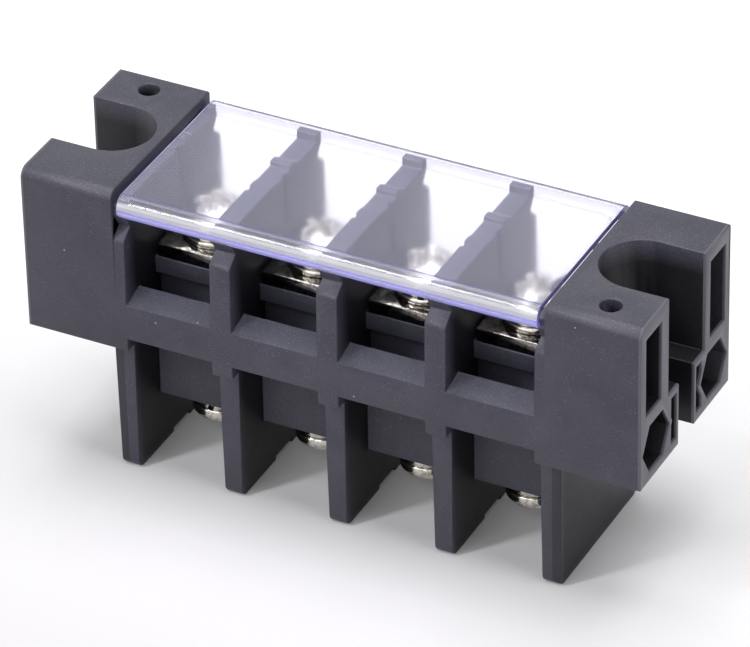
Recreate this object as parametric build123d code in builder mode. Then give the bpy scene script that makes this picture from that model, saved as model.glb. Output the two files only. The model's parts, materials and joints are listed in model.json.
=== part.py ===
from build123d import *
import os

os.makedirs("parts", exist_ok=True)

# A four-pole feed-through terminal block for a panel cut-out, in millimetres.
# X runs along the row of poles, Y from front to back, and Z up from the feet.

# Row of poles
pole_count = 4
pole_pitch = 18.0
barrier_wall = 3.5
block_depth = 31.9

# Heights
leg_height = 23.5
ear_height = 28.4
barrier_height = 25.6

# Lower barriers, which pass through the panel
leg_setback = 2.0
leg_draft = 0.5
foot_notch_width = 5.2
foot_notch_depth = 0.65
foot_round = 1.5

# Upper barriers
nose_height = 19.8
nose_lean = 0.3
nose_round = 1.0
undercut_inset = 2.5
undercut_height = 21.4
rear_nose_height = 20.6
rear_undercut_inset = 2.35
rear_undercut_height = 22.6
tab_inset = 1.05
tab_drop = 1.9
tab_round = 0.3
rear_tab_rise = 0.9
rear_tab_width = 1.6
rear_notch_width = 5.9
rear_notch_depth = 0.5
notch_ramp = 1.5
bump_width = 1.4
bump_rise = 0.45
shallow_notch_width = 5.4
shallow_notch_depth = 0.35
groove_width = 1.2
groove_depth = 0.4
groove_offset = 2.75
groove_length = 9.0

# Sills between the barriers, with a sloping top and a trough behind it
sill_underside = 2.2
sill_face_top = 8.4
sill_slope_depth = 4.4
sill_slope_rise = 1.2
trough_floor = 4.5

# Cores round the conductors
core_depth = 12.9
core_drop = 13.6
collar_height = 11.9
collar_lip = 3.1
collar_undercut = 1.4

# Ears
ear_reach = 15.6
ear_front_round = 1.8
ear_back_round = 0.6
notch_centre = 8.25
notch_width = 13.0
notch_setback = 0.4
screw_slot_width = 5.5
shoulder_height = 11.0
top_hole_diameter = 3.4
top_hole_offset = 8.6
top_hole_inset = 4.2

# Pockets in the end faces of the ears
pocket_depth = 12.0
pocket_inset = 1.9
pocket_width = 5.3
pocket_floor = 12.2
pocket_top_wall = 2.6
hex_flats = 8.2
hex_inset = 5.6
hex_height = 5.7
slender_pocket_wall = 0.8
slender_pocket_width = 1.85
slender_pocket_rib = 0.9

# Conductors
pad_thickness = 2.4
pad_width = 13.6
lower_pad_depth = 10.9
stem_width = 9.0
conductor_gap = 0.05

# Terminal screws and washers, M5
thread_diameter = 5.0
thread_length = 12.0
tapped_depth = 11.0
thread_clearance = 0.075
head_diameter = 9.5
head_side = 1.2
head_height = 3.4
recess_span = 5.4
recess_width = 1.2
recess_depth = 1.8
washer_bore_clearance = 0.15
flat_washer_diameter = 10.0
flat_washer_thickness = 1.0
spring_washer_diameter = 9.0
spring_washer_thickness = 1.3
spring_washer_split = 0.8

# Clear cover
cover_wall = 0.8
cover_clearance = 0.35
cover_end_gap = 1.05
curl_radius = 2.05
curl_reach = 1.35
curl_lip_gap = 0.1

# Places worked out from the sizes above
half_depth = block_depth / 2
tab_reach = half_depth - tab_inset
end_plane = pole_count * pole_pitch / 2
ear_end = end_plane + ear_reach
flange = leg_height
ear_top = flange + ear_height
pad_top = flange + collar_height + pad_thickness
pad_bottom = flange - core_drop
half_core = core_depth / 2
half_slot = screw_slot_width / 2
barrier_places = [index * pole_pitch - end_plane for index in range(pole_count + 1)]
pole_places = [place + pole_pitch / 2 for place in barrier_places[:-1]]


def barrier_outline():
    """Points of a barrier above the flange, in depth and height, from the front foot round the top.

    Its front and back are flush with the sills and lean in above them.
    """
    nose = half_depth - nose_lean
    rear_tab_front = tab_reach - rear_tab_width
    rear_notch_end = rear_tab_front - rear_notch_width
    bump_end = rear_notch_end - notch_ramp
    shallow_end = bump_end - bump_width
    shallow_start = shallow_end - shallow_notch_width
    crest = flange + barrier_height
    bump = crest + bump_rise
    rear_tab = crest + rear_tab_rise
    rear_notch = crest - rear_notch_depth
    shallow_notch = crest - shallow_notch_depth
    return [
        (-half_depth, flange),
        (-half_depth, flange + sill_face_top),
        (-nose, flange + nose_height),
        (-half_depth + undercut_inset, flange + undercut_height),
        (-tab_reach, crest - tab_drop),
        (-tab_reach, crest),
        (shallow_start, crest),
        (shallow_start + notch_ramp, shallow_notch),
        (shallow_end, shallow_notch),
        (shallow_end, bump),
        (bump_end, bump),
        (rear_notch_end, rear_notch),
        (rear_tab_front, rear_notch),
        (rear_tab_front, rear_tab),
        (tab_reach, rear_tab),
        (tab_reach, rear_tab - tab_drop),
        (half_depth - rear_undercut_inset, flange + rear_undercut_height),
        (nose, flange + rear_nose_height),
        (half_depth, flange + sill_face_top),
        (half_depth, flange),
    ]


def row_section():
    """Points of the sills and cores across the block, front half then back half."""
    sill_inner = half_depth - sill_slope_depth
    collar = flange + collar_height
    undercut = half_core - collar_undercut
    front = [
        (-half_core, flange - core_drop),
        (-half_core, flange + sill_underside),
        (-half_depth, flange + sill_underside),
        (-half_depth, flange + sill_face_top),
        (-sill_inner, flange + sill_face_top + sill_slope_rise),
        (-sill_inner, flange + trough_floor),
        (-undercut, flange + trough_floor),
        (-undercut, collar - collar_lip),
        (-half_core, collar - collar_lip),
        (-half_core, collar),
    ]
    back = [(-depth, height) for depth, height in reversed(front)]
    return front + back


with BuildPart() as housing:
    # Ear blocks, well rounded along the upper front edge and slightly along the back one
    with BuildSketch(Plane.XY.offset(flange)):
        for side in (-1, 1):
            with Locations((side * (end_plane + ear_reach / 2), 0)):
                Rectangle(ear_reach, block_depth)
    extrude(amount=ear_height)
    for end, radius in ((0, ear_front_round), (-1, ear_back_round)):
        fillet(housing.edges().filter_by(Axis.X).group_by(Axis.Z)[-1].group_by(Axis.Y)[end], radius)

    # Wide U-notch down to the shoulder, and the screw slot below it, a little behind the middle
    for width, bottom, height in (
        (notch_width, flange + shoulder_height, ear_height - shoulder_height),
        (screw_slot_width, flange, shoulder_height),
    ):
        with BuildSketch(Plane.XY.offset(bottom)):
            for side in (-1, 1):
                with Locations((side * (end_plane + notch_centre), notch_setback)):
                    Circle(width / 2)
                with Locations((side * (end_plane + (notch_centre + ear_reach) / 2), notch_setback)):
                    Rectangle(ear_reach - notch_centre, width)
        extrude(amount=height, mode=Mode.SUBTRACT)

    # Pockets in both prongs of each ear, open at the end face: a hexagon, a slender pocket
    # that leaves a rib of even thickness beside it, and a tall pocket above
    hex_centre = half_depth - hex_inset
    slender_centre = half_slot + slender_pocket_wall + slender_pocket_width / 2
    tall_centre = half_depth - pocket_inset - pocket_width / 2
    tall_height = ear_height - pocket_top_wall - pocket_floor
    for side in (-1, 1):
        end_face = Plane((side * ear_end, 0, flange), x_dir=(0, side, 0), z_dir=(side, 0, 0))
        with BuildSketch(end_face):
            for prong in (-1, 1):
                with Locations((side * notch_setback + prong * slender_centre, hex_height)):
                    Rectangle(slender_pocket_width, hex_flats)
                with Locations((prong * hex_centre, hex_height)):
                    RegularPolygon(hex_flats / 2 + slender_pocket_rib, 6, major_radius=False, mode=Mode.SUBTRACT)
                    RegularPolygon(hex_flats / 2, 6, major_radius=False)
                with Locations((prong * tall_centre, pocket_floor + tall_height / 2)):
                    Rectangle(pocket_width, tall_height)
        extrude(amount=-pocket_depth, mode=Mode.SUBTRACT)

    # Hole through the top wall of one prong of each ear, set back as the notch is
    with BuildSketch(Plane.XY.offset(ear_top)):
        for side in (-1, 1):
            hole_place = notch_setback - side * (half_depth - top_hole_inset)
            with Locations((side * (end_plane + top_hole_offset), hole_place)):
                Circle(top_hole_diameter / 2)
    extrude(amount=-pocket_top_wall, mode=Mode.SUBTRACT)

    # Upper barriers, with their noses well rounded and the corners of their tabs slightly
    outline = barrier_outline()
    noses = (outline[2], outline[-3])
    tabs = (outline[4], outline[5], outline[-6], outline[-5])
    for place in barrier_places:
        with BuildSketch(Plane.YZ.offset(place)) as barrier:
            with BuildLine():
                Polyline(*outline, close=True)
            make_face()
            for corners, radius in ((noses, nose_round), (tabs, tab_round)):
                for corner in corners:
                    fillet(barrier.vertices().sort_by_distance(corner)[0], radius)
        extrude(amount=barrier_wall / 2, both=True)

    # Sills and cores, carried through the row
    with BuildSketch(Plane.YZ):
        with BuildLine():
            Polyline(*row_section(), close=True)
        make_face()
    extrude(amount=end_plane, both=True)

    # Lower barriers, tapered, with rounded corners and a shallow notch underfoot
    with BuildSketch(Plane.XY.offset(flange)):
        with GridLocations(pole_pitch, 0, pole_count + 1, 1):
            Rectangle(barrier_wall, block_depth - 2 * leg_setback)
    extrude(amount=-leg_height, taper=leg_draft)
    fillet(housing.edges().filter_by(Axis.X).group_by(Axis.Z)[0], foot_round)
    with BuildSketch(Plane.XY):
        Rectangle(2 * end_plane, foot_notch_width)
    extrude(amount=foot_notch_depth, mode=Mode.SUBTRACT)

    # Vertical grooves down the barrier faces, one in each face of a bay
    with BuildSketch(Plane.XY.offset(flange + barrier_height)):
        for place in pole_places:
            for side in (-1, 1):
                wall_face = place - side * (pole_pitch - barrier_wall + groove_depth) / 2
                with Locations((wall_face, side * groove_offset)):
                    Rectangle(groove_depth, groove_width)
    extrude(amount=-groove_length, mode=Mode.SUBTRACT)

    # Passages for the conductors, and the seats that their lower pads are let into
    with BuildSketch(Plane.XY.offset(pad_bottom)):
        with GridLocations(pole_pitch, 0, pole_count, 1):
            Rectangle(stem_width + 2 * conductor_gap, stem_width + 2 * conductor_gap)
    extrude(amount=collar_height + core_drop, mode=Mode.SUBTRACT)
    with BuildSketch(Plane.XY.offset(pad_bottom)):
        with GridLocations(pole_pitch, 0, pole_count, 1):
            Rectangle(pad_width + 2 * conductor_gap, lower_pad_depth + 2 * conductor_gap)
    extrude(amount=pad_thickness, mode=Mode.SUBTRACT)
housing.part.label = "housing"
export_step(housing.part, "parts/housing.step")


with BuildPart() as cover:
    # A flattened ring, open underneath, so that a curl is left along each edge that turns in
    # just outside the barrier tabs
    cover_top = flange + barrier_height + rear_tab_rise + cover_clearance + cover_wall
    span = 2 * (tab_reach + curl_reach - curl_radius)
    mouth = 2 * (tab_reach + curl_lip_gap)
    with BuildSketch(Plane.YZ):
        with Locations((0, cover_top - curl_radius)):
            SlotCenterToCenter(span, 2 * curl_radius)
            SlotCenterToCenter(span, 2 * (curl_radius - cover_wall), mode=Mode.SUBTRACT)
        with Locations((0, cover_top - 1.5 * curl_radius)):
            Rectangle(mouth, curl_radius, mode=Mode.SUBTRACT)
    extrude(amount=end_plane - cover_end_gap, both=True)
cover.part.label = "cover"
export_step(cover.part, "parts/cover.step")


def make_conductor(place, name):
    """Through bar of one pole: a stem in the core with a pad at each end, tapped from both pads."""
    with BuildPart() as conductor:
        with BuildSketch(Plane.XY.offset(pad_bottom)):
            with Locations((place, 0)):
                Rectangle(stem_width, stem_width)
        extrude(amount=pad_top - pad_bottom)
        for level, depth, inward in ((pad_top, core_depth, -1), (pad_bottom, lower_pad_depth, 1)):
            with BuildSketch(Plane.XY.offset(level)):
                with Locations((place, 0)):
                    Rectangle(pad_width, depth)
            extrude(amount=inward * pad_thickness)
            with BuildSketch(Plane.XY.offset(level)):
                with Locations((place, 0)):
                    Circle(thread_diameter / 2 + thread_clearance)
            extrude(amount=inward * tapped_depth, mode=Mode.SUBTRACT)
    conductor.part.label = name
    export_step(conductor.part, f"parts/{name}.step")


def make_washer(seat, diameter, thickness, split, name):
    """Ring on its seat, cut through at one side where it is a spring washer."""
    with BuildPart() as washer:
        with BuildSketch(seat):
            Circle(diameter / 2)
            Circle(thread_diameter / 2 + washer_bore_clearance, mode=Mode.SUBTRACT)
            if split:
                with Locations((diameter / 2, 0)):
                    Rectangle(diameter, split, mode=Mode.SUBTRACT)
        extrude(amount=thickness)
    washer.part.label = name
    export_step(washer.part, f"parts/{name}.step")


def make_screw(seat, name):
    """Pan-head screw whose head stands on its seat, with a cross recess in the domed top."""
    half_section = Plane(seat.origin, x_dir=seat.x_dir, z_dir=-seat.y_dir)
    with BuildPart() as screw:
        with BuildSketch(half_section):
            with BuildLine():
                Polyline(
                    (0, head_height),
                    (0, -thread_length),
                    (thread_diameter / 2, -thread_length),
                    (thread_diameter / 2, 0),
                    (head_diameter / 2, 0),
                    (head_diameter / 2, head_side),
                )
                EllipticalCenterArc((0, head_side), head_diameter / 2, head_height - head_side, arc_size=90)
            make_face()
        revolve(axis=Axis(seat.origin, seat.z_dir))
        with BuildSketch(seat.offset(head_height)):
            Rectangle(recess_span, recess_width)
            Rectangle(recess_width, recess_span)
        extrude(amount=-recess_depth, mode=Mode.SUBTRACT)
    screw.part.label = name
    export_step(screw.part, f"parts/{name}.step")


for number, place in enumerate(pole_places, start=1):
    make_conductor(place, f"conductor_{number}")
    for end, level, direction in (("top", pad_top, 1), ("bottom", pad_bottom, -1)):
        pad = Plane((place, 0, level), x_dir=(1, 0, 0), z_dir=(0, 0, direction))
        make_washer(pad, flat_washer_diameter, flat_washer_thickness, 0, f"{end}_flat_washer_{number}")
        spring_seat = pad.offset(flat_washer_thickness)
        make_washer(spring_seat, spring_washer_diameter, spring_washer_thickness, spring_washer_split,
                    f"{end}_spring_washer_{number}")
        make_screw(spring_seat.offset(spring_washer_thickness), f"{end}_screw_{number}")
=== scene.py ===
import json
import math
import bmesh
import bpy
import numpy as np
from mathutils import Matrix, Vector


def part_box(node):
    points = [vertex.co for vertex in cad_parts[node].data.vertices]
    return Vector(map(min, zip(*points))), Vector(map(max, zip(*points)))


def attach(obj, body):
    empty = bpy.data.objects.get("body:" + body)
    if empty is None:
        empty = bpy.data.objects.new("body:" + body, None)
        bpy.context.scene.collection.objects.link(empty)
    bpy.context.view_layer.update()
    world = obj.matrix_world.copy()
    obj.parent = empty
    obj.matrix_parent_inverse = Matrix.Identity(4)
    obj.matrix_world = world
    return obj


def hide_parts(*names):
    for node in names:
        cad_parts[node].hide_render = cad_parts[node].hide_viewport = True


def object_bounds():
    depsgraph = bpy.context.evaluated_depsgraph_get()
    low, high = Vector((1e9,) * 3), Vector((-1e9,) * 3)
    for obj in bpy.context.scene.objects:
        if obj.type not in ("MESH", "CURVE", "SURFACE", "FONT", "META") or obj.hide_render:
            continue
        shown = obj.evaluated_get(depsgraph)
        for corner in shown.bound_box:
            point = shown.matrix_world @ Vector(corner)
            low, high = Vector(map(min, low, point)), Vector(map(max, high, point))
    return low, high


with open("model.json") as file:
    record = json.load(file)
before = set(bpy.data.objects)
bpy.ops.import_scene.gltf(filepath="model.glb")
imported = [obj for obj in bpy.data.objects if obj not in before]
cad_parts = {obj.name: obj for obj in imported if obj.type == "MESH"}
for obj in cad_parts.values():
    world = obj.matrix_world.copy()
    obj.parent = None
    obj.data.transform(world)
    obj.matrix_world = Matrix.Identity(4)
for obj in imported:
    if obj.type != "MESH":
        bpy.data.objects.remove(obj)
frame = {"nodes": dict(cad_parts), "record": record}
cadLow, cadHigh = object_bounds()

mm = 0.001
touching = 0.001 * mm     # points of a drawn surface nearer than this are one
nodes = frame["nodes"]
mountAt = {mount["name"]: mount["pos_m"] for mount in frame["record"]["mounts"]}
poleCount = sum(name.startswith("conductor_") for name in nodes)


def hexToLinear(text):
    # an sRGB hex value as linear light, each channel by the sRGB curve
    values = [int(text[i:i + 2], 16) / 255 for i in (1, 3, 5)]
    return (*[v / 12.92 if v <= 0.04045 else ((v + 0.055) / 1.055) ** 2.4 for v in values], 1.0)


def addNode(tree, kind, inputs=None, **settings):
    # one shader node: its settings, then each input, linked where the value is a socket
    node = tree.nodes.new(kind)
    for name, value in settings.items():
        setattr(node, name, value)
    for key, value in (inputs or {}).items():
        if isinstance(value, bpy.types.NodeSocket):
            tree.links.new(value, node.inputs[key])
        else:
            node.inputs[key].default_value = value
    return node


def newMaterial(name):
    # an empty material with its Object coordinates and its output, ready for a shader
    material = bpy.data.materials.new(name)
    material.use_nodes = True
    tree = material.node_tree
    tree.nodes.clear()
    place = addNode(tree, "ShaderNodeTexCoord").outputs["Object"]
    return material, tree, place, addNode(tree, "ShaderNodeOutputMaterial")


def setRamp(ramp, positions, colours):
    # the two stops of a colour ramp
    for element, position, colour in zip(ramp.color_ramp.elements, positions, colours):
        element.position = position
        element.color = hexToLinear(colour)


# Glass-filled nylon, moulded against a spark-eroded tool: near-black with a violet cast, a fine
# even grain that spreads the highlights, pale points where glass lies at the surface, shown denser
# as a painted highlight on faces that look up and on those that lie aslant, a painted highlight on
# the rounds, painted shade on the walls of recesses, paler end rims, and a few specks of dust.
nylon = {
    "deep": "#3d3d49",
    "pale": "#4f4e5a",
    "toneStops": (0.10, 0.45),    # tone that is wholly deep, and wholly pale
    "cloud": 7 * mm,
    "grain": 0.3 * mm,            # real grain is nearer 0.05 mm, drawn coarser to show
    "grainHeight": 0.05 * mm,
    "bump": 0.6,
    "rough": (0.36, 0.50),
    "ior": 1.53,
    "specular": 0.3,
    "speckAndHighlight": "#8f8e97",
    "speckGap": 0.42 * mm,
    "speckSize": 0.24,            # radius of a speck, as a share of the gap
    "speckShift": 0.37,           # moves the pattern, in gaps
    "speckShare": 0.45,           # how far a speck's colour shows
    "speckPatch": 4,              # width of a patch of specks, in gaps
    "speckUpward": 0.16,          # what looking up adds to a patch's level, as a painted highlight
    "speckAslant": 0.6,           # what lying aslant adds to it, as a painted highlight
    "speckKept": (0.49, 0.61),    # levels at which specks first show, and show in full
    "highlightAslant": (0.15, 0.5),  # slants at which the painted highlight first shows, and shows in full
    "highlightShare": 0.14,          # how far the painted highlight then goes towards the speck's colour
    "dust": "#b9b8bf",
    "dustGap": 4.5 * mm,
    "dustSize": 0.035,
    "dustShift": 0.71,
    "paintedShade": "#000000",
    "paintedShadeShare": 0.12,           # how bright the painted shade leaves the recess walls, beside the outside
    "paintedShadeDepth": (0.5 * mm, 4 * mm),  # below the outside: where the painted shade starts, and is full
    "paintedShadeFacing": 0.5,           # share of its normal along the row that makes a side a wall
    "earReach": 15.4 * mm,        # from the end plane to where an ear begins
    "earWall": 1.5 * mm,          # kept clear of the painted shade on the row's side of an ear
    "rim": "#62616a",
    "rimDepth": 0.45 * mm,
}


def spotted(tree, place, gap, size, shift):
    # round spots at the cores of a cell pattern: 0 outside, and 1 within half a spot's radius
    moved = addNode(tree, "ShaderNodeVectorMath", {
        0: place, 1: (shift * gap, shift * gap, shift * gap)}, operation="ADD")
    cells = addNode(tree, "ShaderNodeTexVoronoi", {
        "Vector": moved.outputs[0], "Scale": 1 / gap, "Randomness": 1.0})
    return addNode(tree, "ShaderNodeMapRange", {
        "Value": cells.outputs["Distance"], "From Min": size, "From Max": size / 2}).outputs[0]


def mouldedNylon():
    # tone: a cloudy noise times the grain; then the layers, each with its share by place or facing
    material, tree, place, output = newMaterial("mouldedNylon")
    cloud = addNode(tree, "ShaderNodeTexNoise", {
        "Vector": place, "Scale": 1 / nylon["cloud"], "Detail": 3.0, "Roughness": 0.6})
    grain = addNode(tree, "ShaderNodeTexNoise", {
        "Vector": place, "Scale": 1 / nylon["grain"], "Detail": 2.0, "Roughness": 0.55})
    tone = addNode(tree, "ShaderNodeMath", {
        0: cloud.outputs["Fac"], 1: grain.outputs["Fac"]}, operation="MULTIPLY")
    colour = addNode(tree, "ShaderNodeValToRGB", {"Fac": tone.outputs[0]})
    setRamp(colour, nylon["toneStops"], (nylon["deep"], nylon["pale"]))

    # aslant: the rounds and slopes between the top and the front or back, which take a painted
    # highlight
    normal = addNode(tree, "ShaderNodeNewGeometry").outputs["Normal"]
    facing = addNode(tree, "ShaderNodeSeparateXYZ", {"Vector": normal}).outputs
    forward = addNode(tree, "ShaderNodeMath", {0: facing["Y"]}, operation="ABSOLUTE")
    aslant = addNode(tree, "ShaderNodeMath", {
        0: forward.outputs[0], 1: facing["Z"]}, operation="MULTIPLY").outputs[0]
    rubbedAndSheen = addNode(tree, "ShaderNodeMapRange", {
        "Value": aslant, "From Min": nylon["highlightAslant"][0],
        "From Max": nylon["highlightAslant"][1], "To Max": nylon["highlightShare"]}).outputs[0]

    # glass specks in patches, shown denser as a painted highlight on faces that look up and on
    # those that lie aslant
    patch = addNode(tree, "ShaderNodeTexNoise", {
        "Vector": place, "Scale": 1 / (nylon["speckPatch"] * nylon["speckGap"]), "Detail": 2.0})
    upward = addNode(tree, "ShaderNodeMath", {
        0: facing["Z"], 1: nylon["speckUpward"], 2: patch.outputs["Fac"]},
        operation="MULTIPLY_ADD")
    level = addNode(tree, "ShaderNodeMath", {
        0: aslant, 1: nylon["speckAslant"], 2: upward.outputs[0]}, operation="MULTIPLY_ADD")
    kept = addNode(tree, "ShaderNodeMapRange", {
        "Value": level.outputs[0], "From Min": nylon["speckKept"][0],
        "From Max": nylon["speckKept"][1], "To Max": nylon["speckShare"]})
    spots = spotted(tree, place, nylon["speckGap"], nylon["speckSize"], nylon["speckShift"])
    specked = addNode(tree, "ShaderNodeMath", {
        0: spots, 1: kept.outputs[0]}, operation="MULTIPLY").outputs[0]
    dusted = spotted(tree, place, nylon["dustGap"], nylon["dustSize"], nylon["dustShift"])

    # painted shade on the walls of recesses, darker the deeper they lie: all those in the ears,
    # and the barriers' sides
    at = addNode(tree, "ShaderNodeSeparateXYZ", {"Vector": place}).outputs
    reach, aside, endways = [
        addNode(tree, "ShaderNodeMath", {0: socket}, operation="ABSOLUTE").outputs[0]
        for socket in (at["X"], at["Y"], facing["X"])]
    fromSide = addNode(tree, "ShaderNodeMath", {0: cadHigh.y, 1: aside}, operation="SUBTRACT")
    fromTop = addNode(tree, "ShaderNodeMath", {0: cadHigh.z, 1: at["Z"]}, operation="SUBTRACT")
    depth = addNode(tree, "ShaderNodeMath", {
        0: fromSide.outputs[0], 1: fromTop.outputs[0]}, operation="MINIMUM")
    earStart = cadHigh.x - nylon["earReach"]
    inEar = addNode(tree, "ShaderNodeMath", {0: reach, 1: earStart}, operation="GREATER_THAN")
    inRow = addNode(tree, "ShaderNodeMath", {
        0: reach, 1: earStart - nylon["earWall"]}, operation="LESS_THAN")
    sideways = addNode(tree, "ShaderNodeMath", {
        0: endways, 1: nylon["paintedShadeFacing"]}, operation="GREATER_THAN")
    barrierSide = addNode(tree, "ShaderNodeMath", {
        0: sideways.outputs[0], 1: inRow.outputs[0]}, operation="MULTIPLY")
    paintedShade = addNode(tree, "ShaderNodeMath", {
        0: inEar.outputs[0], 1: barrierSide.outputs[0]}, operation="MAXIMUM")
    dark = addNode(tree, "ShaderNodeMapRange", {
        "Value": depth.outputs[0], "From Min": nylon["paintedShadeDepth"][0],
        "From Max": nylon["paintedShadeDepth"][1], "To Max": 1 - nylon["paintedShadeShare"]})
    shaded = addNode(tree, "ShaderNodeMath", {
        0: dark.outputs[0], 1: paintedShade.outputs[0]}, operation="MULTIPLY").outputs[0]

    # the end rims, paler within a small depth of the end planes
    rimmed = addNode(tree, "ShaderNodeMath", {
        0: reach, 1: cadHigh.x - nylon["rimDepth"]}, operation="GREATER_THAN").outputs[0]

    # each layer over those before it
    skin = colour.outputs["Color"]
    for share, layer in ((specked, "speckAndHighlight"), (rubbedAndSheen, "speckAndHighlight"), (dusted, "dust"),
                         (shaded, "paintedShade"), (rimmed, "rim")):
        skin = addNode(tree, "ShaderNodeMixRGB", {
            "Fac": share, "Color1": skin, "Color2": hexToLinear(nylon[layer])}).outputs["Color"]
    rough = addNode(tree, "ShaderNodeMapRange", {
        "Value": cloud.outputs["Fac"], "To Min": nylon["rough"][0], "To Max": nylon["rough"][1]})
    bump = addNode(tree, "ShaderNodeBump", {
        "Height": grain.outputs["Fac"], "Strength": nylon["bump"],
        "Distance": nylon["grainHeight"]})
    shader = addNode(tree, "ShaderNodeBsdfPrincipled", {
        "Base Color": skin, "Roughness": rough.outputs[0], "IOR": nylon["ior"],
        "Specular IOR Level": nylon["specular"], "Normal": bump.outputs["Normal"]})
    tree.links.new(shader.outputs[0], output.inputs["Surface"])
    return material


# Clear PVC strip, extruded and sawn to length: a slight haze washes what lies under it with
# lavender, the front curl carries a painted reflection in bands and gathers the tint in lines,
# both by the angle its surface faces, and the sawn ends and the front lip show the tint at its
# strongest.
# Lamps shine through it.
pvc = {
    "tint": "#f5f5fa",
    "gathered": "#7d78d8",
    "haze": "#6b64ff",
    "hazeWeight": 0.075,
    "hazeRough": 0.8,
    "clear": 0.97,                # share of the light that it transmits, plain and under the painted reflection
    "clearUnderReflection": 0.25,
    "rubbedAndSheen": 6 * mm,
    "rough": (0.09, 0.15),
    "ior": 1.5,
    "passes": "#f0f0f6",          # share of a lamp's light that each surface lets through
    "sawMark": 0.3 * mm,
    "sawShare": 0.3,              # how far the saw marks move the tint
    "sawnMiddle": "#a9a5ea",
    "sawnEdge": "#625cc0",
    "sawnStops": (0.45, 0.95),
    "sawnRough": 0.3,
    "sawnClear": 0.3,
}


def shownThrough(tree, shader, output):
    # the shader for every ray but a shadow ray, which passes on to light what is underneath
    shadow = addNode(tree, "ShaderNodeLightPath").outputs["Is Shadow Ray"]
    passing = addNode(tree, "ShaderNodeBsdfTransparent", {"Color": hexToLinear(pvc["passes"])})
    both = addNode(tree, "ShaderNodeMixShader", {
        0: shadow, 1: shader.outputs[0], 2: passing.outputs[0]})
    tree.links.new(both.outputs[0], output.inputs["Surface"])


def clearPvc():
    # rubbed patches are a little hazier, and the curl's painted reflection and tint come from the
    # mesh
    material, tree, place, output = newMaterial("clearPvc")
    rubbedAndSheen = addNode(tree, "ShaderNodeTexNoise", {
        "Vector": place, "Scale": 1 / pvc["rubbedAndSheen"], "Detail": 3.0})
    rough = addNode(tree, "ShaderNodeMapRange", {
        "Value": rubbedAndSheen.outputs["Fac"], "To Min": pvc["rough"][0], "To Max": pvc["rough"][1]})
    paintedReflection = addNode(tree, "ShaderNodeAttribute", attribute_name="paintedReflection").outputs["Fac"]
    clear = addNode(tree, "ShaderNodeMapRange", {
        "Value": paintedReflection, "To Min": pvc["clear"], "To Max": pvc["clearUnderReflection"]})
    gathered = addNode(tree, "ShaderNodeAttribute", attribute_name="gathered").outputs["Fac"]
    colour = addNode(tree, "ShaderNodeMixRGB", {
        "Fac": gathered, "Color1": hexToLinear(pvc["tint"]),
        "Color2": hexToLinear(pvc["gathered"])})
    shader = addNode(tree, "ShaderNodeBsdfPrincipled", {
        "Base Color": colour.outputs["Color"], "Roughness": rough.outputs[0], "IOR": pvc["ior"],
        "Transmission Weight": clear.outputs[0], "Sheen Weight": pvc["hazeWeight"],
        "Sheen Roughness": pvc["hazeRough"], "Sheen Tint": hexToLinear(pvc["haze"])})
    shownThrough(tree, shader, output)
    return material


def sawnPvc():
    # the cut face: saw marks, and the tint gathered towards the two edges of the wall
    material, tree, place, output = newMaterial("sawnPvc")
    saw = addNode(tree, "ShaderNodeTexNoise", {
        "Vector": place, "Scale": 1 / pvc["sawMark"], "Detail": 2.0})
    across = addNode(tree, "ShaderNodeAttribute", attribute_name="acrossWall").outputs["Fac"]
    uneven = addNode(tree, "ShaderNodeMath", {
        0: saw.outputs["Fac"], 1: pvc["sawShare"], 2: across}, operation="MULTIPLY_ADD")
    colour = addNode(tree, "ShaderNodeValToRGB", {"Fac": uneven.outputs[0]})
    setRamp(colour, pvc["sawnStops"], (pvc["sawnMiddle"], pvc["sawnEdge"]))
    shader = addNode(tree, "ShaderNodeBsdfPrincipled", {
        "Base Color": colour.outputs["Color"], "Roughness": pvc["sawnRough"],
        "IOR": pvc["ior"], "Transmission Weight": pvc["sawnClear"]})
    shownThrough(tree, shader, output)
    return material


# Nickel plate, electroplated over brass or steel: a warm bright metal whose reflections are
# softened by the tumbled base under it, with faint scuffs. The bars take a darker copy of it, a
# painted shade for the shade they sit in.
nickel = {
    "bright": "#dad6ce",
    "dull": "#a29e96",
    "barBright": "#8f8b85",
    "barDull": "#514f4b",
    "toneStops": (0.35, 0.55),
    "scuff": 0.8 * mm,
    "scuffHeight": 0.02 * mm,
    "bump": 0.05,
    "rough": (0.06, 0.15),        # where it is bright, and where it is dull
}


def nickelPlate(name, bright, dull):
    # scuffs are the peaks and troughs of one noise, which sets colour, roughness and bump alike
    material, tree, place, output = newMaterial(name)
    scuffs = addNode(tree, "ShaderNodeTexNoise", {
        "Vector": place, "Scale": 1 / nickel["scuff"], "Detail": 4.0, "Roughness": 0.65})
    colour = addNode(tree, "ShaderNodeValToRGB", {"Fac": scuffs.outputs["Fac"]})
    setRamp(colour, nickel["toneStops"], (dull, bright))
    rough = addNode(tree, "ShaderNodeMapRange", {
        "Value": scuffs.outputs["Fac"], "To Min": nickel["rough"][1],
        "To Max": nickel["rough"][0]})
    bump = addNode(tree, "ShaderNodeBump", {
        "Height": scuffs.outputs["Fac"], "Strength": nickel["bump"],
        "Distance": nickel["scuffHeight"]})
    shader = addNode(tree, "ShaderNodeBsdfPrincipled", {
        "Base Color": colour.outputs["Color"], "Metallic": 1.0, "Roughness": rough.outputs[0],
        "Normal": bump.outputs["Normal"]})
    tree.links.new(shader.outputs[0], output.inputs["Surface"])
    return material


finish = {
    "nylon": mouldedNylon(),
    "pvc": clearPvc(),
    "sawn": sawnPvc(),
    "nickel": nickelPlate("nickelPlate", nickel["bright"], nickel["dull"]),
    "bar": nickelPlate("nickelPlateShadedBar", nickel["barBright"], nickel["barDull"]),
}
print("finishes made:", ", ".join(sorted(finish)))


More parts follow.
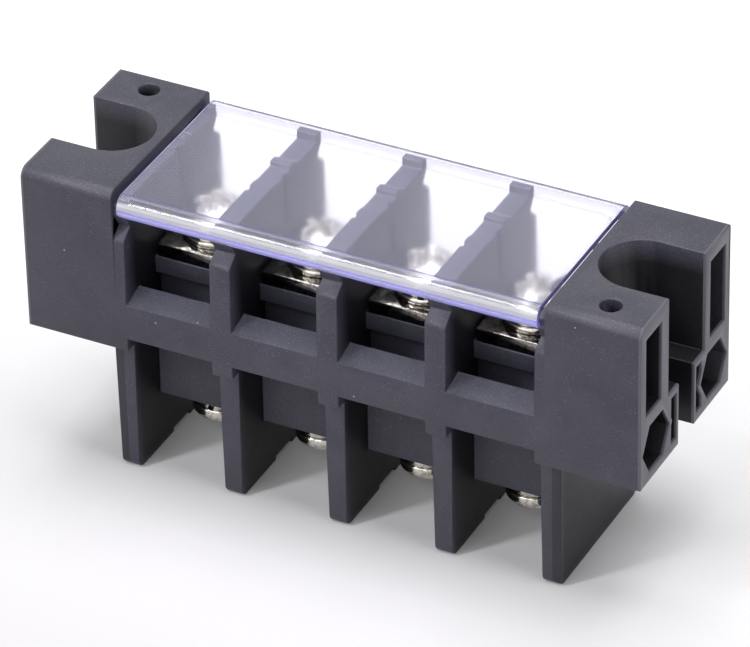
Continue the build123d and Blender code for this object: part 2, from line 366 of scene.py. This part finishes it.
def gridFaces(rows, columns, closeRows=False, closeColumns=True):
    # quads between neighbouring points of a grid, joined round where its rows or columns close
    row = np.arange(rows if closeRows else rows - 1)[:, None]
    column = np.arange(columns if closeColumns else columns - 1)[None, :]
    nextRow, nextColumn = (row + 1) % rows, (column + 1) % columns
    corners = [row * columns + column, row * columns + nextColumn,
               nextRow * columns + nextColumn, nextRow * columns + column]
    return np.stack(np.broadcast_arrays(*corners), -1).reshape(-1, 4)


def addObject(name, data):
    # a mesh, lamp or camera in the scene
    item = bpy.data.objects.new(name, data)
    bpy.context.scene.collection.objects.link(item)
    return item


def addPiece(name, mesh, materials, body, replaced):
    # one smooth object at the origin, riding on its body in place of its node
    piece = addObject(name, mesh)
    for material in materials:
        mesh.materials.append(material)
    mesh.polygons.foreach_set("use_smooth", np.ones(len(mesh.polygons), bool))
    mesh.update()
    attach(piece, body)
    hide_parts(replaced)
    return piece


def meshFrom(name, points, faces):
    # a mesh of an array of points, and of faces as rows of their numbers
    mesh = bpy.data.meshes.new(name)
    mesh.from_pydata(points.tolist(), [], [list(face) for face in faces])
    return mesh


def fixNormals(piece):
    # merges doubles, such as a pole's, and turns every face outwards
    shape = bmesh.new()
    shape.from_mesh(piece.data)
    bmesh.ops.remove_doubles(shape, verts=shape.verts, dist=touching)
    bmesh.ops.recalc_face_normals(shape, faces=shape.faces)
    shape.to_mesh(piece.data)
    shape.free()


# Housing and through conductors: the nodes' own forms with their corners broken
housing = {"corner": 0.2 * mm}
conductor = {"corner": 0.2 * mm}
softening = {
    "merged": 0.002 * mm,
    "flatWithin": 0.3,        # degrees between triangles that make one face
    "sharpFrom": 32,          # degrees at which an edge counts as a corner
    "segments": 2,
}


def softenedCopy(nodeName, name, material, body, width):
    # the node's triangles merged into flat faces, with a small bevel along every corner
    shape = bmesh.new()
    shape.from_mesh(nodes[nodeName].data)
    bmesh.ops.remove_doubles(shape, verts=shape.verts, dist=softening["merged"])
    bmesh.ops.dissolve_limit(shape, angle_limit=math.radians(softening["flatWithin"]),
                             verts=shape.verts, edges=shape.edges)
    mesh = bpy.data.meshes.new(name)
    shape.to_mesh(mesh)
    shape.free()
    piece = addPiece(name, mesh, [material], body, nodeName)
    bevel = piece.modifiers.new("brokenCorners", "BEVEL")
    bevel.width = width
    bevel.segments = softening["segments"]
    bevel.limit_method = "ANGLE"
    bevel.angle_limit = math.radians(softening["sharpFrom"])
    bevel.harden_normals = True
    bevel.use_clamp_overlap = False  # it would shrink every bevel to suit the shortest facet


softenedCopy("housing", "mouldedHousing", finish["nylon"], "block",
             housing["corner"])
print("housing softened")
for number in range(1, poleCount + 1):
    softenedCopy(f"conductor_{number}", f"throughBar_{number}", finish["bar"], "block",
                 conductor["corner"])
print("conductors softened")

# Cover: what the strip's section needs beside its box
cover = {
    "wall": 0.95 * mm,
    "curl": 2.05 * mm,        # outer radius of the curl along each edge
    "lipAngle": -43.0,        # degrees above level, where the curl's centre line ends
    "arcSteps": 40,
    "flatSteps": 24,
    "lipSteps": 6,
    "lengthSteps": 30,
    "sawnEdge": 0.07 * mm,
    "sawnSteps": 3,
    # how far the front curl carries a painted reflection and how much tint it gathers, by the
    # degrees above level that its surface faces
    "paintedReflectionBands": [(-43, 0.3), (-36, 0.2), (-30, 0.5), (-10, 0.6), (-4, 0.15), (2, 0.2), (8, 0.8),
                  (16, 0.65), (24, 1.0), (33, 0.85), (42, 0.1), (78, 0.0), (82, 0.3), (86, 0.3),
                  (89, 0.0)],
    "gathering": [(-43, 1.0), (-38, 0.8), (-32, 0.25), (-10, 0.2), (-4, 0.5), (2, 0.4), (8, 0.0),
                  (76, 0.0), (82, 0.8), (87, 0.8), (89.5, 0.0)],
}


def coverSection():
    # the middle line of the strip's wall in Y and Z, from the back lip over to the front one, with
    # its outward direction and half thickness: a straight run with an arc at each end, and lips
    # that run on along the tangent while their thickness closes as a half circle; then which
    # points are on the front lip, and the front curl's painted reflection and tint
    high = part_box("cover")[1]
    half = cover["wall"] / 2
    centreY, centreZ = high.y - cover["curl"], high.z - cover["curl"]
    radius = cover["curl"] - half
    turn = np.linspace(math.radians(cover["lipAngle"]), math.pi / 2, cover["arcSteps"] + 1)
    arcOut = np.stack([np.cos(turn), np.sin(turn)], 1)
    arc = np.array([centreY, centreZ]) + radius * arcOut
    close = np.linspace(math.pi / 2, 0, cover["lipSteps"] + 1)[:-1][:, None]
    tangent = np.array([math.sin(turn[0]), -math.cos(turn[0])])
    lip = arc[0] + half * np.sin(close) * tangent
    flat = np.stack([np.linspace(centreY, -centreY, cover["flatSteps"] + 1)[1:-1],
                     np.full(cover["flatSteps"] - 1, centreZ + radius)], 1)
    back = np.concatenate([lip, arc])
    backOut = np.concatenate([np.tile(arcOut[0], (len(lip), 1)), arcOut])
    backThick = half * np.concatenate([np.cos(close[:, 0]), np.ones(len(arc))])
    mirror = np.array([-1.0, 1.0])
    line = np.concatenate([back, flat, (back * mirror)[::-1]])
    out = np.concatenate([backOut, np.tile([0.0, 1.0], (len(flat), 1)),
                          (backOut * mirror)[::-1]])
    thick = np.concatenate([backThick, np.full(len(flat), half), backThick[::-1]])
    order = np.arange(len(line))
    atFrontLip = order >= len(line) - len(lip)
    facing = np.degrees(np.arcsin(np.clip(out[:, 1], -1, 1)))
    reflectionShare, tint = [np.interp(facing, *np.array(cover[name]).T) * (order > len(line) / 2)
                   for name in ("paintedReflectionBands", "gathering")]
    return line, out, thick, atFrontLip, reflectionShare, tint


def makeCover():
    # the section carried along X, with its outline drawn in a little at both sawn ends
    line, out, thick, atFrontLip, reflectionShare, tint = coverSection()
    low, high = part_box("cover")
    count = len(line)
    turn = np.linspace(0, math.pi / 2, cover["sawnSteps"] + 1)
    inward = cover["sawnEdge"] * (1 - np.sin(turn))
    shrink = cover["sawnEdge"] * (1 - np.cos(turn))
    body = np.linspace(low.x + cover["sawnEdge"], high.x - cover["sawnEdge"],
                       cover["lengthSteps"] + 1)[1:-1]
    along = np.concatenate([low.x + inward[::-1], body, high.x - inward])
    less = np.concatenate([shrink[::-1], np.zeros(len(body)), shrink])
    height = np.maximum(thick - less[:, None], 0)[..., None]
    section = np.concatenate([line + out * height, (line - out * height)[:, ::-1]], 1)
    start = np.broadcast_to(along[:, None, None], section.shape[:2] + (1,))
    points = np.concatenate([start, section], 2).reshape(-1, 3)
    sides = gridFaces(len(along), 2 * count)
    # sawn ends: quads from the outer line to the middle one and on to the inner line
    first = np.arange(count - 1)
    ends = []
    for ring, x in ((0, low.x), (len(along) - 1, high.x)):
        outer = ring * 2 * count + first
        inner = ring * 2 * count + 2 * count - 1 - first
        middle = len(points) + first
        ends.append(np.stack([outer, outer + 1, middle + 1, middle], 1))
        ends.append(np.stack([middle, middle + 1, inner - 1, inner], 1))
        points = np.concatenate([points, np.column_stack([np.full(count, x), line])])
    faces = np.concatenate([sides, *ends])
    piece = addPiece("clearCover", meshFrom("clearCover", points, faces),
                     [finish["pvc"], finish["sawn"]], "cover", "cover")
    # how far each point stands from the middle of the wall, and on the outer surface alone how
    # far it carries the painted reflection and how much tint it gathers
    edge, none = thick * 2 / cover["wall"], np.zeros(count)
    for name, outside, inside in (("acrossWall", edge, edge), ("paintedReflection", reflectionShare, none),
                                  ("gathered", tint, none)):
        layer = piece.data.attributes.new(name, "FLOAT", "POINT")
        around = np.tile(np.concatenate([outside, inside[::-1]]), len(along))
        layer.data.foreach_set("value", np.concatenate([around, none, none]))
    # the front lip and the sawn ends take the sawn finish, and the ends are flat
    lip = np.tile(np.concatenate([atFrontLip, atFrontLip[::-1]]), len(along) - 1)
    sawn = np.arange(len(faces)) >= len(sides)
    tinted = sawn.copy()
    tinted[:len(sides)] = lip
    piece.data.polygons.foreach_set("material_index", tinted.astype(int))
    piece.data.polygons.foreach_set("use_smooth", ~sawn)
    fixNormals(piece)


makeCover()
print("cover drawn")

# Terminal screws: pan head with a cross recess, and a rolled M5 thread
screw = {
    "headRadius": 4.75 * mm,
    "headSide": 1.2 * mm,     # height at which the dome begins
    "headHeight": 3.4 * mm,
    "edgeRound": 0.3 * mm,
    "underside": (2.6 * mm, 3.6 * mm),  # radii between the shank and the rounded edge
    "threadRadius": 2.48 * mm,
    "threadDepth": 0.42 * mm,
    "threadSlope": 1.35,      # steepness of the flanks; above 1 it leaves a flat crest
    "threadRoot": 0.15,       # how far the profile is lowered, which leaves a flat root
    "pitch": 0.8 * mm,
    "length": 12.0 * mm,
    "shankFrom": 0.4 * mm,    # the threaded rows begin this far from the tip
    "shankTo": 0.1 * mm,      # and end this far short of the head
    "tipRadius": 1.6 * mm,
    "tipShare": 0.72,         # radius at the tip, as a share of the thread's
    "tipLength": 0.9 * mm,
    "runIn": 1.2 * mm,        # over which the thread fades in at the tip, and out under the head
    "runOut": 0.9 * mm,
    "recessSpan": 2.9 * mm,   # half length and half width of the cross's arms
    "recessWidth": 0.72 * mm,
    "recessDepth": 1.9 * mm,
    "recessEnd": 1.5 * mm,    # over which an arm falls at its ends, and at its sides
    "recessSide": 0.16 * mm,
    "around": 144,
    "rowsPerPitch": 7,
    "edgeSteps": 5,
    "domeSteps": 34,
    "turns": (0.35, 1.05, 0.1, 0.75),   # how far each is turned at rest, in radians
}


def screwSurface():
    # a turned form with height and radius as functions of the way along its outline, in a grid of
    # outline by angle; the thread is a saw profile that climbs one pitch each turn, and the recess
    # is a cross pressed into the dome
    tip, edge = -screw["length"], screw["edgeRound"]
    shank = np.linspace(tip + screw["shankFrom"], -screw["shankTo"],
                        int(screw["length"] / screw["pitch"] * screw["rowsPerPitch"]))
    corner = np.linspace(-math.pi / 2, 0, screw["edgeSteps"])
    rise = np.linspace(0, math.pi / 2, screw["domeSteps"])
    outline = [
        ([0.0, screw["tipRadius"]], [tip, tip]),
        (np.full(len(shank), screw["threadRadius"]), shank),
        (screw["underside"], [0.0, 0.0]),
        (screw["headRadius"] - edge + edge * np.cos(corner), edge + edge * np.sin(corner)),
        (screw["headRadius"] * np.cos(rise),
         screw["headSide"] + (screw["headHeight"] - screw["headSide"]) * np.sin(rise)),
    ]
    stretch = np.repeat(np.arange(len(outline)), [len(radii) for radii, _ in outline])[:, None]
    radius, height = [np.concatenate(column)[:, None] for column in zip(*outline)]
    angle = np.linspace(0, 2 * math.pi, screw["around"], endpoint=False)[None, :]
    # thread, cut into the second stretch of the outline, whose tip is tapered
    phase = (height / screw["pitch"] - angle / (2 * math.pi)) % 1.0
    tooth = np.clip(screw["threadSlope"] * np.abs(2 * phase - 1) - screw["threadRoot"], 0, 1)
    fromTip = height - tip
    fade = np.clip(fromTip / screw["runIn"], 0, 1) * np.clip(-height / screw["runOut"], 0, 1)
    cut = screw["threadDepth"] * (1 - tooth * fade)
    taper = np.clip(fromTip / screw["tipLength"], 0, 1) * (1 - screw["tipShare"])
    threaded = (radius - cut) * (screw["tipShare"] + taper)
    radius = np.where(stretch == 1, threaded, radius + 0 * angle)
    x = radius * np.cos(angle)
    y = radius * np.sin(angle)
    # recess, in the last stretch: each arm falls steeply at its sides and slowly at its ends
    arms = [np.minimum((screw["recessSpan"] - np.abs(along)) / screw["recessEnd"],
                       (screw["recessWidth"] - np.abs(across)) / screw["recessSide"])
            for along, across in ((x, y), (y, x))]
    press = np.clip(np.maximum(*arms), 0, 1)
    height = height - np.where(stretch == len(outline) - 1, screw["recessDepth"] * press, 0)
    return np.stack([x, y, height + 0 * x], -1)


# Washers: a plain one on the pad, and a split one that springs under the head
washer = {
    "bore": 2.65 * mm,
    "edgeRound": 0.24 * mm,
    "edgeSteps": 4,
    "around": 96,
    "flatRadius": 5.0 * mm,
    "flatThickness": 1.0 * mm,
    "springRadius": 4.5 * mm,
    "springThickness": 1.3 * mm,
    "climb": 0.1 * mm,        # from one side of the split to the other
    "split": 0.8 * mm,
    "splitLean": 0.12,        # radians by which the split leans over the thickness
    "turns": (2.5, 0.9, 4.0, 5.2),      # where each split stands, in radians
}


def roundedOutline(outer, height):
    # a closed rectangle with rounded corners, as radii and heights, run round from the lower
    # outer corner
    edge, bore = washer["edgeRound"], washer["bore"]
    turn = np.linspace(0, math.pi / 2, washer["edgeSteps"])
    corners = [(outer - edge, edge, -math.pi / 2), (outer - edge, height - edge, 0.0),
               (bore + edge, height - edge, math.pi / 2), (bore + edge, edge, math.pi)]
    outline = np.concatenate([
        np.stack([cx + edge * np.cos(start + turn), cz + edge * np.sin(start + turn)], 1)
        for cx, cz, start in corners])
    return outline[:, :1], outline[:, 1:]


def flatWasherSurface():
    # the rectangle turned about the axis, in a grid of outline by angle
    radius, height = roundedOutline(washer["flatRadius"], washer["flatThickness"])
    angle = np.linspace(0, 2 * math.pi, washer["around"], endpoint=False)[None, :]
    return np.stack([radius * np.cos(angle), radius * np.sin(angle), height + 0 * angle], -1)


def springWasherSurface():
    # the rectangle carried once round, climbing a little from one side of the split to the other
    radius, height = roundedOutline(washer["springRadius"],
                                    washer["springThickness"] - washer["climb"])
    halfGap = washer["split"] / 2 / washer["springRadius"]
    way = np.linspace(0, 1, washer["around"] + 1)[None, :]
    lean = (height / washer["springThickness"] - 0.5) * washer["splitLean"]
    angle = halfGap + way * (2 * math.pi - 2 * halfGap) + lean
    return np.stack([radius * np.cos(angle), radius * np.sin(angle),
                     height + washer["climb"] * way], -1)


def springWasherFaces(rows, columns):
    # closed round its outline, open along its length, with both cut ends capped
    start = np.arange(rows) * columns
    sides = gridFaces(rows, columns, closeRows=True, closeColumns=False)
    return [*sides, start, (start + columns - 1)[::-1]]


def placed(surface, turn, x, seat, direction):
    # turned about its own axis, stood on its seat, and turned over for the lower terminals
    spun = surface.copy()
    spun[..., 0] = surface[..., 0] * math.cos(turn) - surface[..., 1] * math.sin(turn)
    spun[..., 1] = surface[..., 0] * math.sin(turn) + surface[..., 1] * math.cos(turn)
    spun[..., 1:] *= direction
    return spun.reshape(-1, 3) + np.array([x, 0, seat])


def makeTerminal(end, direction, number):
    # flat washer, split washer and screw, each standing on the one before
    x, _, seat = mountAt[f"{end}_pad_{number}"]
    washers = f"{end}_washers_{number}"
    splitTurn = washer["turns"][number - 1] + direction
    screwTurn = screw["turns"][number - 1] * (1 if end == "top" else 2)
    for kind, node, body, (surface, faces), turn, height in (
            ("FlatWasher", "flat_washer", washers, shapes["flat"], 0, washer["flatThickness"]),
            ("SpringWasher", "spring_washer", washers, shapes["spring"], splitTurn,
             washer["springThickness"]),
            ("Screw", "screw", f"{end}_screw_{number}", shapes["screw"], screwTurn, 0)):
        name = f"{end}{kind}_{number}"
        mesh = meshFrom(name, placed(surface, turn, x, seat, direction), faces)
        piece = addPiece(name, mesh, [finish["nickel"]], body, f"{end}_{node}_{number}")
        fixNormals(piece)
        seat += direction * height


flatShape, springShape, screwShape = flatWasherSurface(), springWasherSurface(), screwSurface()
shapes = {
    "flat": (flatShape, gridFaces(*flatShape.shape[:2], closeRows=True)),
    "spring": (springShape, springWasherFaces(*springShape.shape[:2])),
    "screw": (screwShape, gridFaces(*screwShape.shape[:2])),
}
for number in range(1, poleCount + 1):
    makeTerminal("top", 1, number)
    makeTerminal("bottom", -1, number)
print("screws and washers turned")

# Studio: a pale floor and four soft lamps. The tall narrow one, at the front left, is for a
# bright line along the cover's bead.
studio = {
    "skyForObject": 0.07,     # the sky's strength as light, beside 1 where it is seen directly
    "floor": "#e2e0e3",
    "floorSize": 4.0,
    "floorRough": 0.6,
    "floorSpecular": 0.2,
    "floorGlow": (0.09, 0.46),         # in front of the block and behind it
    "glowReach": (-0.06, 0.10),        # metres in Y over which it rises
    "paintedShadowGlow": 0.25,                 # share of it that is left in the painted shadow under the block
    "paintedShadowHalf": (0.036, 0.010, 0.0),  # half length and depth of that painted shadow
    "paintedShadowReach": (0.0, 0.016),        # metres from its edge over which the whole comes back
    "farGlow": 0.9,                    # added on all sides, far off, where no lamp reaches
    "farReach": (0.25, 1.2),           # metres from the middle over which that rises
    "lamps": {
        "overhead": {"place": (0.0, 0.15, 1.1), "size": (0.8, 0.8), "power": 8.0},
        "frontHigh": {"place": (-0.15, -0.85, 0.75), "size": (0.6, 0.5), "power": 2.8},
        "tallFrontLeft": {"place": (-0.42, -0.59, 0.83), "size": (0.1, 0.6), "power": 3.8},
        "right": {"place": (0.95, -0.1, 0.55), "size": (0.6, 0.6), "power": 2.8},
    },
}


def seenDirectly(tree):
    # 1 for rays that show the background: from the camera, in a reflection or through glass
    path = addNode(tree, "ShaderNodeLightPath").outputs
    either = addNode(tree, "ShaderNodeMath", {
        0: path["Is Camera Ray"], 1: path["Is Glossy Ray"]}, operation="MAXIMUM")
    return addNode(tree, "ShaderNodeMath", {
        0: either.outputs[0], 1: path["Is Transmission Ray"]}, operation="MAXIMUM").outputs[0]


def makeSky():
    world = bpy.data.worlds.new("studio")
    bpy.context.scene.world = world
    world.use_nodes = True
    tree = world.node_tree
    tree.nodes.clear()
    strength = addNode(tree, "ShaderNodeMapRange", {
        "Value": seenDirectly(tree), "To Min": studio["skyForObject"], "To Max": 1.0})
    sky = addNode(tree, "ShaderNodeBackground", {
        "Color": (1, 1, 1, 1), "Strength": strength.outputs[0]})
    output = addNode(tree, "ShaderNodeOutputWorld")
    tree.links.new(sky.outputs[0], output.inputs["Surface"])


def paleFloor():
    # plain and pale, with a glow that only shows where the floor is seen directly, cut back in a
    # painted shadow under the block
    material, tree, place, output = newMaterial("paleFloor")
    shader = addNode(tree, "ShaderNodeBsdfPrincipled", {
        "Base Color": hexToLinear(studio["floor"]), "Roughness": studio["floorRough"],
        "Specular IOR Level": studio["floorSpecular"]})
    depth = addNode(tree, "ShaderNodeSeparateXYZ", {"Vector": place}).outputs["Y"]
    rising = addNode(tree, "ShaderNodeMapRange", {
        "Value": depth,
        "From Min": studio["glowReach"][0], "From Max": studio["glowReach"][1],
        "To Min": studio["floorGlow"][0], "To Max": studio["floorGlow"][1]})
    distance = addNode(tree, "ShaderNodeVectorMath", {0: place}, operation="LENGTH")
    farRising = addNode(tree, "ShaderNodeMapRange", {
        "Value": distance.outputs["Value"], "From Min": studio["farReach"][0],
        "From Max": studio["farReach"][1], "To Max": studio["farGlow"]})
    # distance from the painted shadow's rectangle: the length of what each axis is past its half
    # size
    folded = addNode(tree, "ShaderNodeVectorMath", {0: place}, operation="ABSOLUTE")
    past = addNode(tree, "ShaderNodeVectorMath", {
        0: folded.outputs[0], 1: studio["paintedShadowHalf"]}, operation="SUBTRACT")
    outside = addNode(tree, "ShaderNodeVectorMath", {
        0: past.outputs[0], 1: (0, 0, 0)}, operation="MAXIMUM")
    away = addNode(tree, "ShaderNodeVectorMath", {0: outside.outputs[0]}, operation="LENGTH")
    share = addNode(tree, "ShaderNodeMapRange", {
        "Value": away.outputs["Value"], "From Min": studio["paintedShadowReach"][0],
        "From Max": studio["paintedShadowReach"][1], "To Min": studio["paintedShadowGlow"]})
    total = addNode(tree, "ShaderNodeMath", {
        0: rising.outputs[0], 1: share.outputs[0], 2: farRising.outputs[0]},
        operation="MULTIPLY_ADD")
    shown = addNode(tree, "ShaderNodeMath", {
        0: seenDirectly(tree), 1: total.outputs[0]}, operation="MULTIPLY")
    glow = addNode(tree, "ShaderNodeEmission", {
        "Color": (1, 1, 1, 1), "Strength": shown.outputs[0]})
    both = addNode(tree, "ShaderNodeAddShader", {0: shader.outputs[0], 1: glow.outputs[0]})
    tree.links.new(both.outputs[0], output.inputs["Surface"])
    return material


def makeFloor():
    half = studio["floorSize"] / 2
    mesh = bpy.data.meshes.new("floor")
    mesh.from_pydata([(-half, -half, 0), (half, -half, 0), (half, half, 0), (-half, half, 0)],
                     [], [(0, 1, 2, 3)])
    mesh.materials.append(paleFloor())
    floor = addObject("floor", mesh)


def makeLamp(name, place, size, power):
    # a rectangular area lamp that faces the object
    data = bpy.data.lights.new(name, "AREA")
    data.shape = "RECTANGLE"
    data.size, data.size_y = size
    data.energy = power
    lamp = addObject(name, data)
    lamp.location = place
    lamp.rotation_mode = "QUATERNION"
    lamp.rotation_quaternion = Vector(place).to_track_quat("Z", "Y")


makeSky()
makeFloor()
for name, lamp in studio["lamps"].items():
    makeLamp(name, **lamp)

# Camera: the photograph's view, from a fit of the block's corners in its 750 by 647 pixels
camera = {
    "azimuth": 27.545,
    "elevation": 34.313,
    "roll": -1.345,
    "distance": 914.008 * mm,
    # 5 mm above the underside of the ears
    "target": (0, -0.95 * mm, mountAt["panel_seat_right"][2] + 5 * mm),
    "focalPixels": 6027.48,
    "centrePixel": (372.39, 328.11),
    "frame": (750, 647),
    "sensor": 36.0,
    "sightEnd": 20.0,         # metres beyond which nothing is drawn
}


def makeCamera():
    # back, right and up are the camera's axes before its roll, from azimuth and elevation
    azimuth, elevation, roll = (
        math.radians(camera[name]) for name in ("azimuth", "elevation", "roll"))
    back = Vector((math.sin(azimuth) * math.cos(elevation),
                   -math.cos(azimuth) * math.cos(elevation), math.sin(elevation)))
    right = Vector((math.cos(azimuth), math.sin(azimuth), 0))
    up = back.cross(right)
    turnedRight = right * math.cos(roll) + up * math.sin(roll)
    turnedUp = up * math.cos(roll) - right * math.sin(roll)
    data = bpy.data.cameras.new("camera")
    width, height = camera["frame"]
    data.sensor_width = camera["sensor"]
    data.lens = camera["focalPixels"] * camera["sensor"] / width
    data.shift_x = (width / 2 - camera["centrePixel"][0]) / width
    data.shift_y = (camera["centrePixel"][1] - height / 2) / width
    data.clip_end = camera["sightEnd"]
    lens = addObject("camera", data)
    place = Vector(camera["target"]) + back * camera["distance"]
    axes = Matrix((turnedRight, turnedUp, back)).transposed().to_4x4()
    lens.matrix_world = Matrix.Translation(place) @ axes
    bpy.context.scene.camera = lens


makeCamera()
bpy.context.scene.view_settings.view_transform = "Standard"
print("studio and camera set")
